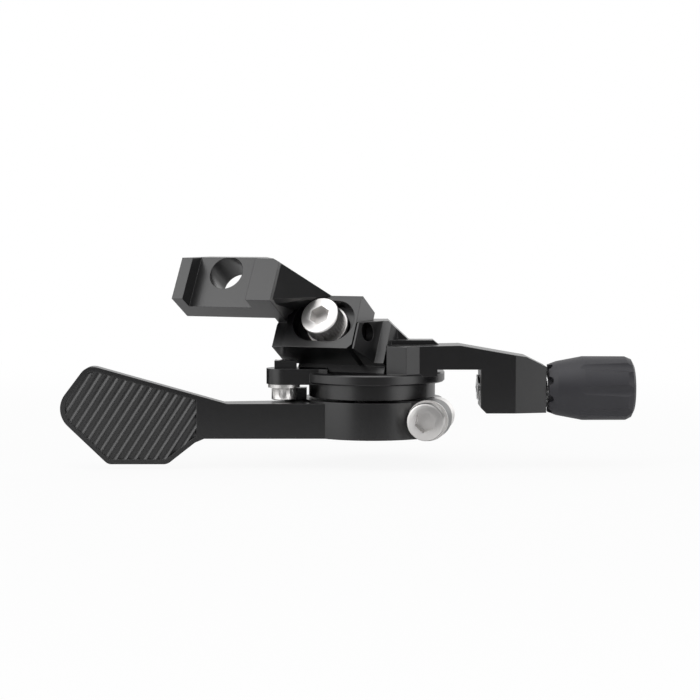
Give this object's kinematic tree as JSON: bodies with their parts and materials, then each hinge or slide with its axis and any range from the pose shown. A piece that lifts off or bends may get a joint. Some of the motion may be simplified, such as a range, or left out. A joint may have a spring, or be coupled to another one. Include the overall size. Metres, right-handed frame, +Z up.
{
  "type": "dropper post remote lever",
  "caption": "Thumb lever on a bearing pivot with a barrel adjuster and a slotted perch bracket, for a dropper seatpost cable under a flat handlebar.",
  "frame": {"origin": "middle of the perch bolt's hole, on the floor of the bracket's channel", "axes": "+X along the handlebar towards the adjuster's grip, +Y forward, away from the rider, +Z up along the lever's pivot"},
  "size_m": [0.116, 0.0595, 0.0446],
  "materials": {
    "anodised_black": "bead-blasted, hard anodised, matte black",
    "stainless": "satin stainless",
    "barrel_alloy": "clear anodised, turned",
    "bearing_steel": "ground and polished",
    "spring_steel": "blackened",
    "cage_nylon": "moulded",
    "seal_rubber": "moulded",
    "grip_rubber": "moulded, matte"
  },
  "bodies": {
    "bracket": {"perch_bracket": "anodised_black"},
    "frame": {"main_body": "anodised_black", "clamp_bolt": "stainless", "clamp_washer": "stainless", "stop_screw": "stainless", "stop_washer": "stainless", "pivot_axle": "stainless", "axle_cap": "anodised_black", "axle_bolt": "stainless", "bearing_spacer": "stainless", "bearing_inner_ring": "bearing_steel"},
    "lever": {"lever": "anodised_black", "bearing_outer_ring": "bearing_steel", "bearing_seal_upper": "seal_rubber", "bearing_seal_lower": "seal_rubber", "bearing_circlip": "spring_steel", "pinch_bolt": "stainless", "pinch_washer": "stainless", "cable_collar": "anodised_black", "pinch_nut": "stainless"},
    "cage": {"bearing_cage": "cage_nylon", "bearing_balls": "bearing_steel"},
    "barrel": {"adjuster_barrel": "barrel_alloy"},
    "grip": {"adjuster_grip": "grip_rubber"}
  },
  "joints": [
    {"name": "frame_shift", "type": "slide", "parent": "bracket", "child": "frame", "axis": [1, 0, 0], "range_m": [0, 0.0022]},
    {"name": "lever_press", "type": "hinge", "parent": "frame", "child": "lever", "pos_m": [0.0272, 0.0176, -0.0217], "axis": [0, 0, 1], "range_deg": [-35, 0]},
    {"name": "cage_turn", "type": "hinge", "parent": "frame", "child": "cage", "pos_m": [0.0272, 0.0176, -0.0217], "axis": [0, 0, 1], "range_deg": [-20.5, 0]},
    {"name": "grip_turn", "type": "hinge", "parent": "barrel", "child": "grip", "pos_m": [0.0648, 0.02704, -0.0252], "axis": [0.9205, 0.3907, 0], "range_deg": [0, 1440]},
    {"name": "barrel_travel", "type": "slide", "parent": "frame", "child": "barrel", "axis": [0.9205, 0.3907, 0], "range_m": [0, 0.004]}
  ],
  "couplings": [
    {"joint": "cage_turn", "follows": "lever_press", "ratio": 0.5828},
    {"joint": "grip_turn", "follows": "barrel_travel", "rad_per_m": 6283}
  ]
}
